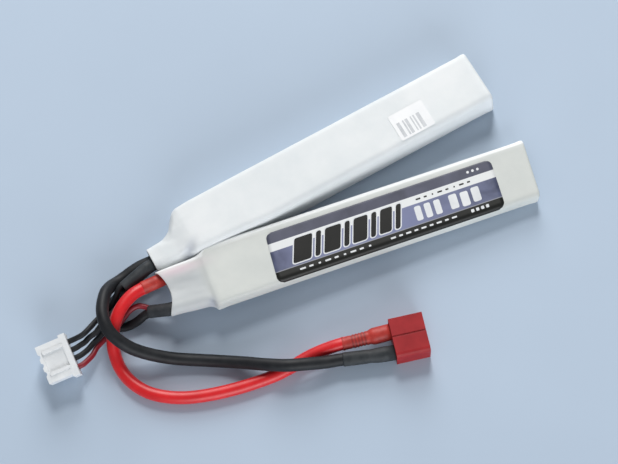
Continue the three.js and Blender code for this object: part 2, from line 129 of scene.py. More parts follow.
def surface(name, dark, light, rough, mottle=120.0, grain=2500.0, bump=0.2, relief=0.00004,
            waves=None, metallic=0.0, coat=0.0, sheen=0.0, specular=0.5, translucent=0.0,
            attributes=()):
    """A mottled colour, an uneven gloss, and a fine grain with an optional broad waviness.

    attributes are (name, colour) pairs: the colour takes over where that mesh attribute is 1."""
    material, add, link, shader = graph(name)
    place = add("ShaderNodeTexCoord").outputs["Object"]
    patches = add("ShaderNodeTexNoise", Scale=mottle, Detail=4.0, Roughness=0.6)
    link(place, patches.inputs["Vector"])
    colour = ramp_of(add, 0.35, 0.68, dark, light)
    link(patches.outputs["Fac"], colour.inputs["Fac"])
    last = colour.outputs["Color"]
    for attribute, tint in attributes:
        value = add("ShaderNodeAttribute", attribute_name=attribute)
        mix = add("ShaderNodeMix", data_type="RGBA")
        link(value.outputs["Fac"], mix.inputs["Factor"])
        link(last, mix.inputs["A"])
        mix.inputs["B"].default_value = (*tint, 1)
        last = mix.outputs["Result"]
    link(last, shader.inputs["Base Color"])

    gloss = add("ShaderNodeTexNoise", Scale=mottle * 2.7, Detail=3.0)
    link(place, gloss.inputs["Vector"])
    spread = add("ShaderNodeMapRange")
    spread.inputs["To Min"].default_value = rough[0]
    spread.inputs["To Max"].default_value = rough[1]
    link(gloss.outputs["Fac"], spread.inputs["Value"])
    link(spread.outputs["Result"], shader.inputs["Roughness"])

    fine = add("ShaderNodeTexNoise", Scale=grain, Detail=3.0)
    link(place, fine.inputs["Vector"])
    raised = add("ShaderNodeBump", Strength=bump, Distance=relief)
    link(fine.outputs["Fac"], raised.inputs["Height"])
    if waves:
        broad = add("ShaderNodeTexNoise", Scale=waves[0], Detail=2.0)
        link(place, broad.inputs["Vector"])
        swell = add("ShaderNodeBump", Strength=waves[1], Distance=waves[2])
        link(broad.outputs["Fac"], swell.inputs["Height"])
        link(raised.outputs["Normal"], swell.inputs["Normal"])
        raised = swell
    link(raised.outputs["Normal"], shader.inputs["Normal"])

    shader.inputs["Metallic"].default_value = metallic
    shader.inputs["Coat Weight"].default_value = coat
    shader.inputs["Coat Roughness"].default_value = 0.2
    shader.inputs["Sheen Weight"].default_value = sheen
    shader.inputs["Specular IOR Level"].default_value = specular
    if translucent:
        shader.inputs["Subsurface Weight"].default_value = translucent
        shader.inputs["Subsurface Scale"].default_value = 0.0012
        shader.inputs["Subsurface Radius"].default_value = (1.0, 0.95, 0.9)
    return material


def srgb(r, g, b):
    """An 8-bit screen colour as linear light."""
    return tuple(
        c / 12.92 if c <= 0.04045 else ((c + 0.055) / 1.055) ** 2.4
        for c in (r / 255, g / 255, b / 255)
    )


sleeve_look = surface(
    "white_shrink_film", srgb(222, 227, 229), srgb(233, 236, 237), (0.42, 0.54), mottle=60.0,
    grain=1800.0, bump=0.12, relief=0.00003, waves=(150.0, 0.25, 0.0003),
    specular=0.35, translucent=0.12,
    attributes=(("pink", srgb(232, 208, 214)), ("shade", srgb(176, 182, 196))),
)
# The single stick's film is the same white film as the double stick's, painted a little greyer and
# warmer as painted shade.
front_sleeve_painted_shade_look = surface(
    "white_shrink_film_painted_shade", srgb(199, 203, 200), srgb(211, 214, 210), (0.42, 0.54), mottle=60.0,
    grain=1800.0, bump=0.12, relief=0.00003, waves=(150.0, 0.25, 0.0003),
    specular=0.35, translucent=0.12,
    attributes=(("pink", srgb(220, 200, 208)), ("shade", srgb(164, 170, 184)),
                # The edge colour is a painted highlight along the far rounded rim.
                ("edge", srgb(242, 244, 244))),
)
black_look = surface(
    "black_silicone", srgb(20, 22, 26), srgb(34, 36, 39), (0.46, 0.6), mottle=260.0,
    grain=3500.0, bump=0.25, relief=0.00003, sheen=0.03, specular=0.28,
)
red_look = surface(
    "red_silicone", srgb(206, 18, 26), srgb(222, 28, 34), (0.34, 0.46), mottle=220.0,
    grain=3500.0, bump=0.25, relief=0.00003, sheen=0.1, specular=0.5,
)
dark_red_look = surface(
    "dark_red_silicone", srgb(122, 20, 34), srgb(142, 28, 42), (0.4, 0.5), mottle=300.0,
    grain=3500.0, bump=0.25, relief=0.00003,
)
black_shrink_look = surface(
    "black_shrink_tube", srgb(42, 46, 49), srgb(58, 61, 64), (0.5, 0.66), mottle=420.0,
    grain=2600.0, bump=0.4, relief=0.00005, waves=(420.0, 0.35, 0.0002), specular=0.28,
)
red_shrink_look = surface(
    "red_shrink_tube", srgb(158, 44, 38), srgb(194, 64, 56), (0.4, 0.55), mottle=420.0,
    grain=2600.0, bump=0.4, relief=0.00005, waves=(420.0, 0.35, 0.0002), specular=0.35,
    # This darker red is painted shade in the ring grooves.
    attributes=(("painted_groove_shade", srgb(128, 38, 34)),),
)
plug_red_look = surface(
    "moulded_red_nylon", srgb(146, 26, 32), srgb(164, 36, 40), (0.46, 0.6), mottle=180.0,
    grain=5200.0, bump=0.35, relief=0.00003, waves=(260.0, 0.1, 0.0002), specular=0.3,
)
plug_white_look = surface(
    "moulded_white_nylon", srgb(222, 225, 227), srgb(234, 236, 237), (0.36, 0.5), mottle=240.0,
    grain=4200.0, bump=0.2, relief=0.00002, translucent=0.15,
)
tin_look = surface(
    "tinned_strip", srgb(180, 180, 178), srgb(212, 211, 206), (0.24, 0.42), mottle=400.0,
    metallic=1.0,
)
gold_look = surface(
    "gold_plate", srgb(206, 166, 84), srgb(224, 190, 110), (0.18, 0.34), mottle=500.0,
    metallic=1.0,
)
pouch_look = surface(
    "pouch_laminate", srgb(172, 176, 180), srgb(198, 201, 204), (0.28, 0.45), mottle=90.0,
    waves=(240.0, 0.3, 0.0003), metallic=0.8,
)
foam_look = surface(
    "foam_tape", srgb(222, 221, 214), srgb(240, 239, 233), (0.8, 0.95), mottle=900.0,
    grain=1600.0, bump=0.6, relief=0.00015,
)
card_look = surface(
    "fibre_card", srgb(196, 178, 132), srgb(214, 198, 152), (0.7, 0.85), mottle=700.0,
    grain=2400.0, bump=0.3, relief=0.00006,
)
sticker_look = surface(
    "taped_paper", srgb(232, 234, 236), srgb(240, 241, 242), (0.24, 0.36), mottle=200.0,
    waves=(200.0, 0.15, 0.0002), coat=0.3,
)
bar_look = surface(
    "printed_grey", srgb(186, 190, 194), srgb(204, 207, 211), (0.24, 0.36), mottle=900.0,
)

NODE_LOOKS = {
    "cell": pouch_look, "foam": foam_look, "spacer": card_look, "tab": tin_look,
    "bridge": tin_look, "tail": tin_look, "balance_contact": tin_look,
    "power_contact": gold_look,
}
for node_name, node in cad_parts.items():
    for part_of_name, look in NODE_LOOKS.items():
        if part_of_name in node_name:
            node.data.materials.clear()
            node.data.materials.append(look)

# ------------------------------------------------------------------ mesh helpers


def make_object(name, vertices, faces, look, smooth=True):
    """A mesh object from millimetre points; its faces are turned to face out."""
    mesh = bpy.data.meshes.new(name)
    mesh.from_pydata([Vector(v) * MM for v in vertices], [], faces)
    work = bmesh.new()
    work.from_mesh(mesh)
    bmesh.ops.recalc_face_normals(work, faces=work.faces)
    work.to_mesh(mesh)
    work.free()
    for polygon in mesh.polygons:
        polygon.use_smooth = smooth
    mesh.materials.append(look)
    made = bpy.data.objects.new(name, mesh)
    scene.collection.objects.link(made)
    return made


def rings_to_faces(rings, count, looped):
    faces = []
    last = rings if looped else rings - 1
    for row in range(last):
        following = (row + 1) % rings
        for column in range(count):
            beside = (column + 1) % count
            faces.append((
                row * count + column, row * count + beside,
                following * count + beside, following * count + column,
            ))
    return faces


def smoothstep(low, high, value):
    t = min(1.0, max(0.0, (value - low) / (high - low)))
    return t * t * (3 - 2 * t)


def spline(points, step):
    """Points a step apart along a centripetal curve through the given ones."""
    through = [Vector(p) for p in points]
    through = [2 * through[0] - through[1], *through, 2 * through[-1] - through[-2]]
    dense = []
    for a, b, c, d in zip(through, through[1:], through[2:], through[3:]):
        t1 = (b - a).length ** 0.5
        t2 = t1 + (c - b).length ** 0.5
        t3 = t2 + (d - c).length ** 0.5
        for k in range(24):
            t = t1 + (t2 - t1) * k / 24
            ab = a * (t1 - t) / t1 + b * t / t1
            bc = b * (t2 - t) / (t2 - t1) + c * (t - t1) / (t2 - t1)
            cd = c * (t3 - t) / (t3 - t2) + d * (t - t2) / (t3 - t2)
            abc = ab * (t2 - t) / t2 + bc * t / t2
            bcd = bc * (t3 - t) / (t3 - t1) + cd * (t - t1) / (t3 - t1)
            dense.append(abc * (t2 - t) / (t2 - t1) + bcd * (t - t1) / (t2 - t1))
    dense.append(through[-2])
    total = sum((q - p).length for p, q in zip(dense, dense[1:]))
    count = max(2, round(total / step))
    spaced, walked, target = [dense[0]], 0.0, total / count
    for p, q in zip(dense, dense[1:]):
        gap = (q - p).length
        while walked + gap >= target - 1e-9 and len(spaced) < count:
            spaced.append(p.lerp(q, (target - walked) / gap))
            target += total / count
        walked += gap
    return [*spaced, dense[-1]]


def frames_along(line):
    """Two unit vectors across the line at each point, carried along it without twist."""
    ways = [(b - a).normalized() for a, b in zip(line, line[1:])]
    ways.append(ways[-1])
    side = ways[0].cross(Vector((0, 0, 1))).normalized()
    found = []
    for way in ways:
        side = (side - way * side.dot(way)).normalized()
        found.append((side, way.cross(side)))
    return found


def length_of(line):
    return sum((q - p).length for p, q in zip(line, line[1:]))


def tube(name, line, radius_at, look, sides=20):
    """A closed round body along a line; radius_at takes (share of the line, angle)."""
    across = frames_along(line)
    vertices = []
    for i, (point, (u, v)) in enumerate(zip(line, across)):
        share = i / (len(line) - 1)
        for k in range(sides):
            angle = 2 * math.pi * k / sides
            radius = radius_at(share, angle)
            vertices.append(point + (u * math.cos(angle) + v * math.sin(angle)) * radius)
    faces = rings_to_faces(len(line), sides, False)
    faces.append(tuple(range(sides)))
    faces.append(tuple(range((len(line) - 1) * sides, len(line) * sides)))
    return make_object(name, vertices, faces, look)


TUBE_SIDES = 32


def shrink(name, points, profile, look, lumps=0.04, seed=0.0, grooves=()):
    """A shrunk tube along a short line: profile is (distance, radius) pairs, and may turn back
    into its open end. lumps is how far the radius wanders with what is under it, and grooves
    lists the distances where painted shade makes the tube's colour darker."""
    line = spline(points, 0.25)
    across = frames_along(line)
    total = length_of(line)
    vertices = []
    for distance, radius in profile:
        at = min(1.0, max(0.0, distance / total)) * (len(line) - 1)
        low = min(int(at), len(line) - 2)
        point = line[low].lerp(line[low + 1], at - low)
        u, v = across[low]
        for k in range(TUBE_SIDES):
            angle = 2 * math.pi * k / TUBE_SIDES
            where = Vector((math.cos(angle) * 1.2, math.sin(angle) * 1.2, distance * 0.55 + seed))
            r = radius * (1 + lumps * noise.noise(where))
            vertices.append(point + (u * math.cos(angle) + v * math.sin(angle)) * r)
    faces = rings_to_faces(len(profile), TUBE_SIDES, False)
    faces.append(tuple(range(TUBE_SIDES)))
    faces.append(tuple(range((len(profile) - 1) * TUBE_SIDES, len(profile) * TUBE_SIDES)))
    made = make_object(name, vertices, faces, look)
    # Painted shade: the tube's colour is darker in the ring grooves.
    if grooves:
        groove_shade_mask = made.data.attributes.new("painted_groove_shade", "FLOAT", "POINT")
        groove_shade_mask.data.foreach_set(
            "value", [float(d in grooves) for d, _ in profile for _ in range(TUBE_SIDES)]
        )
    return made


# ------------------------------------------------------------------ leads and wires
# Each route repeats its frame node's, and runs on into the neck, sleeve or plug at either end.
BLACK_ROUTE = (
    (-56.5, -0.9, 4.0), (-60.1, -0.5, 3.5),
    (-63.6, -0.2, 3.4), (-66.4, -0.4, 3.4), (-69.0, -0.8, 3.4), (-71.5, -1.3, 3.9),
    (-73.6, -2.0, 5.4), (-75.7, -3.7, 7.8), (-77.5, -6.2, 9.4), (-79.0, -9.0, 10.5),
    (-79.9, -12.1, 10.9), (-80.0, -15.2, 10.4), (-79.0, -18.3, 9.2), (-76.9, -21.5, 7.1),
    (-73.1, -25.0, 4.7), (-68.1, -28.6, 2.8), (-62.2, -32.3, 2.0), (-56.5, -36.0, 2.0),
    (-51.2, -39.9, 3.2), (-46.4, -43.8, 5.0), (-41.6, -47.2, 6.2), (-36.5, -49.5, 5.7),
    (-31.9, -51.2, 4.4), (-27.5, -52.6, 3.7), (-25.2, -53.6, 3.7),
)
RED_ROUTE = (
    (-60.2, -7.9, 6.8), (-63.3, -7.7, 6.9), (-66.6, -7.7, 7.2), (-69.1, -8.0, 7.7),
    (-71.8, -8.9, 7.9), (-74.7, -10.5, 7.9), (-77.3, -12.6, 7.3), (-79.4, -15.0, 6.2),
    (-81.0, -17.6, 4.7), (-81.9, -20.6, 3.2), (-82.2, -23.7, 2.2), (-81.7, -27.3, 2.0),
    (-80.3, -30.9, 2.0), (-78.0, -34.3, 2.0), (-74.3, -37.6, 2.0), (-70.1, -40.2, 2.0),
    (-65.5, -42.2, 2.0), (-60.4, -43.9, 2.0), (-55.1, -45.3, 2.0), (-50.0, -46.3, 2.0),
    (-45.0, -47.0, 2.0), (-40.0, -47.1, 2.0), (-35.2, -47.0, 2.3), (-30.8, -47.5, 3.0),
    (-26.2, -48.5, 3.7), (-23.8, -49.1, 3.7),
)
LINK_ROUTE = (
    (-66.5, -3.6, 5.6), (-69.0, -4.5, 4.9),
    (-71.6, -5.0, 3.4), (-74.6, -5.0, 2.3), (-77.5, -6.2, 1.7), (-79.1, -9.0, 1.6),
    (-78.0, -12.0, 1.6), (-75.1, -13.6, 1.8), (-72.0, -14.0, 2.6), (-69.0, -13.8, 3.7),
    (-66.5, -14.3, 4.4),
)
WIRE_ROUTES = (
    (
        (-64.0, -2.7, 6.6), (-68.5, -3.7, 6.8), (-71.5, -4.1, 7.1), (-73.3, -5.3, 6.5),
        (-75.6, -6.6, 5.3), (-78.5, -7.7, 4.7), (-81.6, -8.8, 5.2), (-83.8, -10.2, 6.8),
        (-85.6, -11.1, 7.5), (-87.1, -11.5, 7.6), (-88.6, -11.4, 7.3), (-90.1, -11.1, 6.7),
        (-92.9, -10.8, 6.6),
    ),
    (
        (-64.0, -3.4, 5.8), (-68.5, -4.8, 5.7), (-71.4, -5.8, 5.7), (-73.3, -7.4, 5.1),
        (-75.8, -8.8, 5.4), (-78.3, -9.8, 5.8), (-81.3, -11.1, 6.0), (-83.6, -12.1, 5.7),
        (-85.8, -12.5, 5.8), (-87.4, -13.1, 5.8), (-88.9, -13.3, 6.0), (-90.4, -13.5, 6.2),
        (-93.2, -13.2, 6.1),
    ),
    (
        (-64.0, -3.0, 5.2), (-68.5, -4.6, 5.2), (-71.4, -6.8, 4.2), (-74.6, -9.4, 3.3),
        (-77.9, -10.8, 3.9), (-81.1, -12.3, 4.3), (-83.3, -13.2, 4.1), (-85.6, -14.1, 4.3),
        (-87.4, -15.0, 4.7), (-89.0, -15.6, 5.3), (-90.6, -15.9, 5.7), (-93.4, -15.6, 5.6),
    ),
    (
        (-62.6, -16.2, 5.8), (-64.7, -15.0, 5.2), (-67.0, -13.2, 4.9), (-68.2, -11.9, 5.0),
        (-69.7, -10.9, 5.1), (-71.9, -10.8, 4.9), (-74.9, -11.9, 4.5), (-77.7, -13.1, 3.9),
        (-80.6, -13.6, 3.0), (-83.0, -14.3, 2.6), (-85.2, -15.2, 2.9), (-87.1, -16.7, 3.5),
        (-89.0, -17.7, 4.4), (-90.9, -18.4, 5.2), (-93.7, -18.1, 5.1),
    ),
)


def lead(name, route, diameter, look, sides=20):
    line = spline(route, diameter * 0.22)
    return tube(name, line, lambda share, angle: diameter / 2, look, sides), line


black_lead, black_line = lead("black_main_lead", BLACK_ROUTE, LEAD_D, black_look, 24)
red_lead, red_line = lead("red_main_lead", RED_ROUTE, LEAD_D, red_look, 24)
link_lead, link_line = lead("series_link_lead", LINK_ROUTE, LINK_D, black_look)
wires = []
for i, route in enumerate(WIRE_ROUTES):
    look = dark_red_look if i == 3 else black_look
    wires.append(lead(f"balance_lead_{i + 1}", route, WIRE_D, look, 16))

# ------------------------------------------------------------------ heat-shrink on the leads
REAR_BUNDLE = ((-59.6, -2.3, 6.3), (-63.6, -2.9, 6.3), (-67.2, -3.7, 6.25), (-70.8, -4.6, 6.2))
rear_bundle = shrink(
    "rear_bundle_shrink", REAR_BUNDLE,
    [(0, 1.6), (0.2, 1.9), (3.5, 1.92), (7.0, 1.9), (9.5, 1.86), (11.2, 1.9), (11.42, 1.86),
     (11.5, 1.74), (11.4, 1.6), (10.6, 1.52), (10.4, 0.4)],
    black_shrink_look, lumps=0.07, seed=3.0,
)
FRONT_BUNDLE = ((-59.8, -17.4, 6.7), (-62.4, -16.5, 5.9), (-65.4, -14.9, 5.0), (-68.3, -13.4, 4.3))
front_bundle = shrink(
    "front_bundle_shrink", FRONT_BUNDLE,
    [(0, 1.5), (0.2, 1.85), (3.0, 1.9), (6.0, 1.82), (8.6, 1.84), (9.0, 1.78), (9.1, 1.66),
     (9.0, 1.5), (8.3, 1.45), (8.1, 0.4)],
    black_shrink_look, lumps=0.1, seed=8.0,
)
collar = shrink(
    "front_lead_collar_shrink",
    ((-59.4, -8.0, 6.75), (-61.4, -7.9, 6.8), (-63.8, -7.7, 6.9), (-66.3, -7.7, 7.2)),
    [(0, 1.5), (0.1, 1.9), (3.0, 1.93), (5.0, 1.9), (6.5, 1.93), (6.8, 1.9), (6.88, 1.84),
     (6.8, 1.6)],
    red_shrink_look, lumps=0.04, seed=1.0,
)
PLUG_SLEEVE_RED = ((-25.2, -48.8, 3.6), (-18.4, -50.7, 3.7), (-11.6, -52.5, 3.7))
RINGS = [(3.0 + 0.45 * k, 2.02 if k % 2 else 1.8) for k in range(10)]
red_plug_sleeve = shrink(
    "red_plug_shrink", PLUG_SLEEVE_RED,
    [(0.1, 1.6), (0, 1.84), (0.12, 1.94), (0.5, 1.97), (0.8, 1.88), (1.2, 1.9), (2.6, 1.9),
     *RINGS, (7.5, 1.9), (8.0, 2.02), (8.5, 2.26), (9.1, 2.42), (11.0, 2.4), (12.6, 2.34),
     (14.0, 2.3), (14.1, 1.5)],
    red_shrink_look, lumps=0.06, seed=5.0, grooves=[d for d, r in RINGS if r < 1.9],
)
PLUG_SLEEVE_BLACK = ((-27.2, -52.8, 3.7), (-20.2, -55.7, 3.7), (-13.4, -58.4, 3.7))
black_plug_sleeve = shrink(
    "black_plug_shrink", PLUG_SLEEVE_BLACK,
    [(0.1, 1.6), (0, 1.84), (0.12, 1.95), (0.4, 2.02), (3.0, 2.0), (6.6, 1.98), (7.6, 1.9),
     (8.4, 1.94), (9.6, 2.12), (11.6, 2.14), (14.6, 2.1), (14.7, 1.5)],
    black_shrink_look, lumps=0.05, seed=6.0,
)

# ------------------------------------------------------------------ sleeves of the two sticks
CORNER_STEPS = 7
WIDE_STEPS = 18
TALL_STEPS = 5


def monotone(xs, ys):
    """A smooth curve through the points that never runs past them."""
    slopes = [(b - a) / (q - p) for p, q, a, b in zip(xs, xs[1:], ys, ys[1:])]
    ends = [slopes[0], *[
        0.0 if s * t <= 0 else 2 * s * t / (s + t) for s, t in zip(slopes, slopes[1:])
    ], slopes[-1]]

    def at(x):
        i = max(k for k in range(len(xs) - 1) if k == 0 or xs[k] <= x)
        h = xs[i + 1] - xs[i]
        t = min(1.0, max(0.0, (x - xs[i]) / h))
        return (
            ys[i] * (1 + 2 * t) * (1 - t) ** 2 + ends[i] * h * t * (1 - t) ** 2
            + ys[i + 1] * t * t * (3 - 2 * t) + ends[i + 1] * h * t * t * (t - 1)
        )

    return at


def section(station, inset):
    """One ring of a sleeve: a rounded rectangle, thinner in the middle where it is pinched."""
    mid_y, mid_z = (station["near"] + station["far"]) / 2, (station["low"] + station["high"]) / 2
    half_y = (station["far"] - station["near"]) / 2 - inset
    half_z = (station["high"] - station["low"]) / 2 - inset
    radius = max(0.12, min(station["corner"] - inset, half_y - 0.05, half_z - 0.05))
    outline = []
    for quarter in range(4):
        sign_y = 1 if quarter in (0, 3) else -1
        sign_z = 1 if quarter < 2 else -1
        centre = (sign_y * (half_y - radius), sign_z * (half_z - radius))
        for step in range(CORNER_STEPS + 1):
            angle = (quarter + step / CORNER_STEPS) * math.pi / 2
            outline.append((centre[0] + radius * math.cos(angle),
                            centre[1] + radius * math.sin(angle)))
    points = []
    for i, (y, z) in enumerate(outline):
        points.append((y, z))
        if i % (CORNER_STEPS + 1) == CORNER_STEPS:
            end = outline[(i + 1) % len(outline)]
            steps = TALL_STEPS if (i // (CORNER_STEPS + 1)) % 2 == 1 else WIDE_STEPS
            for k in range(1, steps):
                t = k / steps
                points.append((y + (end[0] - y) * t, z + (end[1] - z) * t))
    ring = []
    for y, z in points:
        across = y / (half_y + inset)
        squeeze = 1 - station["pinch"] * math.exp(-((across - 0.05) / 0.42) ** 2)
        x = (station["x"] + station["skew"] * y + station["rake"] * (mid_z + z)
             + station["bow"] * across * across)
        ring.append(Vector((x, mid_y + y, mid_z + z * squeeze)))
    return ring


def sleeve(name, stations, lip, wrinkle, tints, look):
    """A sleeve open at both ends. lip is (distance from the plain end, inset) pairs round its
    edge, wrinkle gives each point's outward shift, and tints are named functions of a point."""
    keys = ("near", "far", "low", "high", "corner", "pinch", "skew", "rake", "bow")
    filled = [{"pinch": 0.0, "skew": 0.0, "rake": 0.0, "bow": 0.0, **s} for s in stations]
    xs = [s["x"] for s in filled]
    curves = {key: monotone(xs, [s[key] for s in filled]) for key in keys}
    end = xs[-1]

    def at(x):
        return {"x": x, **{key: curve(x) for key, curve in curves.items()}}

    mouth = xs[0]
    neck = [mouth + 0.35 * k for k in range(1, 56)]
    body = [neck[-1] + 2.0 * k for k in range(1, 100) if neck[-1] + 2.0 * k < end - 3.2]
    outer = [(x, 0.0) for x in [*neck, *body]]
    rim = [(mouth + 0.12, 0.02), (mouth, 0.12), (mouth, WALL - 0.1), (mouth + 0.12, WALL)]
    inner = [(x, WALL) for x in reversed([*neck[1:], *body])]
    trail = [*outer, *[(end - back, inset) for back, inset in lip], *inner, *reversed(rim)]
    rings, count = [], 0
    for x, inset in trail:
        ring = section(at(x), inset)
        count = len(ring)
        centre = sum(ring, Vector()) / count
        for k, point in enumerate(ring):
            tangent = ring[(k + 1) % count] - ring[k - 1]
            out = Vector((0, tangent.z, -tangent.y)).normalized()
            if out.dot(point - centre) < 0:
                out = -out
            rings.append(point + out * wrinkle(point))
    made = make_object(name, rings, rings_to_faces(len(trail), count, True), look)
    for tint, value_at in tints.items():
        attribute = made.data.attributes.new(tint, "FLOAT", "POINT")
        attribute.data.foreach_set("value", [value_at(v.co / MM) for v in made.data.vertices])
    return made


def bump_at(point, centre, size, turn_deg=0.0):
    """1 at the centre of an oval patch in X and Y, fading to 0 outside it."""
    a = math.radians(turn_deg)
    dx, dy = point.x - centre[0], point.y - centre[1]
    u = (dx * math.cos(a) + dy * math.sin(a)) / size[0]
    v = (dy * math.cos(a) - dx * math.sin(a)) / size[1]
    return math.exp(-(u * u + v * v))


def folds(point, seed, along, across):
    """Fine folds that run along X, sharper at their crests."""
    value = noise.noise(Vector((point.x / along, point.y / across, point.z / across + seed)))
    return 1 - 2 * abs(value)


def rear_wrinkle(p):
    near_neck = smoothstep(-42, -51, p.x) * (1 - 0.5 * smoothstep(-55, -59, p.x))
    shift = 0.05 * noise.noise(Vector((p.x / 13, p.y / 7, p.z / 7)))
    shift += 0.16 * near_neck * (folds(p, 2.0, 7.0, 2.4) - 0.5)
    if p.z > 6:
        shift -= 0.75 * bump_at(p, (-49.5, -5.2), (3.0, 1.2), 35)
        shift -= 0.3 * bump_at(p, (-53.5, 0.6), (2.6, 1.0), -20)
    return shift


def front_wrinkle(p):
    near_neck = smoothstep(-44, -50, p.x)
    shift = 0.04 * noise.noise(Vector((p.x / 12, p.y / 6, p.z / 6 + 5)))
    shift += 0.1 * near_neck * (folds(p, 9.0, 8.0, 2.2) - 0.5)
    if p.z > 2.5:
        shift -= 0.3 * bump_at(p, (-50.4, -6.0), (1.1, 2.4), 0)
    return shift


REAR_BODY = {"near": -8.2, "far": 8.2, "low": 0.0, "high": DOUBLE_HEIGHT, "corner": 1.7}
REAR_STATIONS = [
    {"x": -60.1, "near": -5.0, "far": 2.0, "low": 1.2, "high": 9.3, "corner": 2.6},
    {"x": -57.6, "near": -5.8, "far": 2.1, "low": 1.2, "high": 9.4, "corner": 2.6},
    {"x": -55.2, "near": -6.1, "far": 2.3, "low": 1.2, "high": 9.6, "corner": 2.6},
    {"x": -52.3, "near": -6.4, "far": 3.6, "low": 1.2, "high": 10.0, "corner": 2.9},
    {"x": -50.4, "near": -6.6, "far": 5.9, "low": 0.7, "high": 10.5, "corner": 2.9},
    {"x": -48.7, "near": -6.8, "far": 7.7, "low": 0.3, "high": 11.0, "corner": 2.6},
    {"x": -47.0, "near": -6.9, "far": 8.2, "low": 0.1, "high": 11.3, "corner": 2.2},
    {"x": -43.1, **REAR_BODY, "near": -7.0},
    {"x": -34.0, **REAR_BODY, "near": -7.5},
    {"x": -24.0, **REAR_BODY},
    {"x": 45.0, **REAR_BODY, "rake": -0.1},
    {"x": 47.1, **REAR_BODY, "rake": -0.11},
    {"x": 49.1, **REAR_BODY, "rake": -0.11},
]
FRONT_BODY = {"near": -9.0, "far": 9.0, "low": 0.0, "high": SINGLE_HEIGHT, "corner": 1.6}
FRONT_STATIONS = [
    {"x": -60.9, "near": -7.0, "far": 6.5, "low": 0.7, "high": 5.5, "corner": 2.2,
     "bow": -2.2, "skew": -0.04, "pinch": 0.45},
    {"x": -57.8, "near": -7.2, "far": 6.8, "low": 0.6, "high": 5.5, "corner": 2.2,
     "bow": -1.5, "skew": -0.03, "pinch": 0.38},
    {"x": -54.6, "near": -7.5, "far": 7.0, "low": 0.6, "high": 5.5, "corner": 2.2,
     "bow": -0.6, "pinch": 0.26},
    {"x": -51.6, "near": -7.75, "far": 7.3, "low": 0.4, "high": 5.5, "corner": 2.1,
     "pinch": 0.12},
    {"x": -50.4, "near": -8.2, "far": 7.45, "low": 0.2, "high": 5.6, "corner": 1.7,
     "pinch": 0.04},
    {"x": -49.4, "near": -9.15, "far": 7.7, "low": 0.05, "high": 5.85, "corner": 1.3},
    {"x": -48.2, **FRONT_BODY, "near": -9.1, "far": 8.4, "corner": 1.2},
    {"x": -46.7, **FRONT_BODY, "far": 8.65, "corner": 1.2},
    {"x": -37.8, **FRONT_BODY, "corner": 1.3},
    {"x": -28.9, **FRONT_BODY},
    {"x": 43.0, **FRONT_BODY, "skew": 0.08},
    {"x": 45.9, **FRONT_BODY, "skew": 0.096},
    {"x": 47.9, **FRONT_BODY, "skew": 0.096},
]
LIP = [(3.0, 0.0), (2.2, -0.05), (1.4, -0.12), (0.7, -0.12), (0.25, 0.0), (0.0, 0.3),
       (0.05, 0.62), (0.3, 0.85), (0.8, 0.8), (1.5, 0.45), (2.4, WALL)]

rear_sleeve = sleeve(
    "rear_shrink_sleeve", REAR_STATIONS, LIP, rear_wrinkle,
    {
        "pink": lambda p: 0.0,
        "shade": lambda p: 0.55 * bump_at(p, (-49.5, -5.2), (3.0, 1.4), 35) * (p.z > 6),
    },
    sleeve_look,
)
front_sleeve = sleeve(
    "front_shrink_sleeve", FRONT_STATIONS, LIP, front_wrinkle,
    {
        "pink": lambda p: 0.8 * bump_at(p, (-57.0, 4.6), (7.0, 1.6), 0),
        "shade": lambda p: (
            0.34 * smoothstep(-48, -53, p.x) * smoothstep(5.5, 1.0, p.y)
            + 0.5 * bump_at(p, (-50.6, -7.4), (1.2, 1.3), 0)
        ),
        # Painted highlight: along its far rounded rim the film is coloured whiter than over the
        # rest of the top.
        "edge": lambda p: smoothstep(7.2, 8.0, p.y + 1.6 * smoothstep(-48, -50, p.x)) * (p.z > 2.2),
    },
    front_sleeve_painted_shade_look,
)
front_sleeve.matrix_world = SINGLE_FRAME
# The film's ripples flatten where the sticks rest on the table.
for piece, placed in ((rear_sleeve, Matrix.Identity(4)), (front_sleeve, SINGLE_FRAME)):
    back = placed.inverted()
    for v in piece.data.vertices:
        at_rest = placed @ v.co
        if at_rest.z < 0:
            at_rest.z = 0
            v.co = back @ at_rest

# ------------------------------------------------------------------ label on the single stick
LABEL = {"left": -31.2, "right": 37.0, "near": -8.9, "far": 6.1, "corner": 1.8, "skew": 0.08}
SLEEVE_CORNER = 1.6


def front_top(y):
    """Height of the single stick's upper surface across its width."""
    past = abs(y) - (9.0 - SLEEVE_CORNER)
    if past <= 0:
        return SINGLE_HEIGHT
    return SINGLE_HEIGHT - SLEEVE_CORNER + math.sqrt(max(0.0, SLEEVE_CORNER ** 2 - past ** 2))


def on_front(x, y, lift):
    point = Vector((x + LABEL["skew"] * (y + 1.4), y, front_top(y)))
    return point + Vector((0, 0, lift + front_wrinkle(point)))


